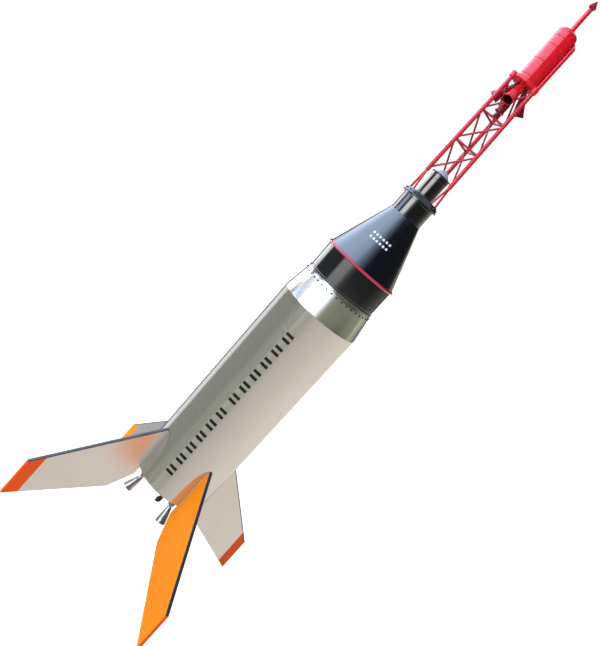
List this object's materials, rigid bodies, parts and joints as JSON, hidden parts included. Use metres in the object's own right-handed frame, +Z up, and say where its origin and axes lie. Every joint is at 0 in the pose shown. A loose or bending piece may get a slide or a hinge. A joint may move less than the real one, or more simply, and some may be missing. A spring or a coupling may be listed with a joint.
{
  "type": "model rocket",
  "caption": "Flying model rocket: silver paper tube, four swept fins, pull-off nose with black capsule and red lattice escape tower; motor tube and rod lug take launch gear.",
  "frame": {"origin": "centre of the square of fin tips that the rocket stands on, in their plane", "axes": "+Z up along the tube's axis to the spike, -Y towards the side with the marking column"},
  "size_m": [0.131, 0.131, 0.4429],
  "materials": {
    "body_silver": "satin metallic silver paint on a wound paper tube",
    "fin_paint": "balsa, filled and painted silver with orange tips and two orange faces",
    "kraft_paper": "wound kraft paper",
    "plywood": "thin birch plywood, bare",
    "base_black": "plywood, painted satin black",
    "spring_steel": "bare spring steel",
    "nozzle_grey": "silver-grey paint with dark streaks",
    "canopy": "packed ripstop canopy in a wrap",
    "adapter_metal": "polished",
    "rivet_dark": "dark dots",
    "capsule_black": "gloss black",
    "cap_grey": "satin light grey",
    "ring_red": "gloss crimson",
    "tower_red": "gloss red"
  },
  "bodies": {
    "airframe": {"body_tube": "body_silver", "fin_front_left": "fin_paint", "fin_front_right": "fin_paint", "fin_back_right": "fin_paint", "fin_back_left": "fin_paint", "motor_tube": "kraft_paper", "thrust_ring": "kraft_paper", "hook_band": "kraft_paper", "hook_anchor": "spring_steel", "base_ring": "base_black", "middle_ring": "plywood", "top_ring": "plywood", "nozzle_front_left": "nozzle_grey", "nozzle_front_right": "nozzle_grey", "nozzle_back_right": "nozzle_grey", "nozzle_back_left": "nozzle_grey", "launch_lug": "body_silver", "shock_cord_mount": "kraft_paper", "parachute_pack": "canopy"},
    "hook": {"engine_hook": "spring_steel"},
    "nose": {"coupler_tube": "kraft_paper", "coupler_bulkhead": "plywood", "screw_eye": "spring_steel", "adapter": "adapter_metal", "adapter_rivets": "rivet_dark", "capsule_skirt": "capsule_black", "clamp_ring": "ring_red", "capsule_cone": "capsule_black", "capsule_neck": "capsule_black", "neck_flange": "capsule_black", "antenna_canister": "capsule_black", "canister_lid": "capsule_black", "canister_cap": "cap_grey", "tower_feet": "tower_red", "tower_leg_left": "tower_red", "tower_leg_right": "tower_red", "tower_leg_back": "tower_red", "brace_lower": "tower_red", "brace_upper": "tower_red", "diagonals_lower": "tower_red", "diagonals_middle": "tower_red", "diagonals_upper": "tower_red", "motor_plate": "tower_red", "escape_motor_case": "tower_red", "escape_motor_dome": "tower_red", "side_conduit": "tower_red", "escape_nozzle_front": "tower_red", "escape_nozzle_right": "tower_red", "escape_nozzle_left": "tower_red", "jettison_motor": "tower_red", "spike_rod": "tower_red", "spike_tip": "tower_red"}
  },
  "joints": [
    {"name": "nose_pull", "type": "slide", "parent": "airframe", "child": "nose", "axis": [0, 0, 1], "range_m": [0, 0.04]},
    {"name": "hook_flex", "type": "hinge", "parent": "airframe", "child": "hook", "pos_m": [0.00486, -0.01173, 0.0882], "axis": [-0.9239, -0.3827, 0], "range_deg": [0, 4.5], "stiffness_Nm_per_rad": 0.4}
  ]
}
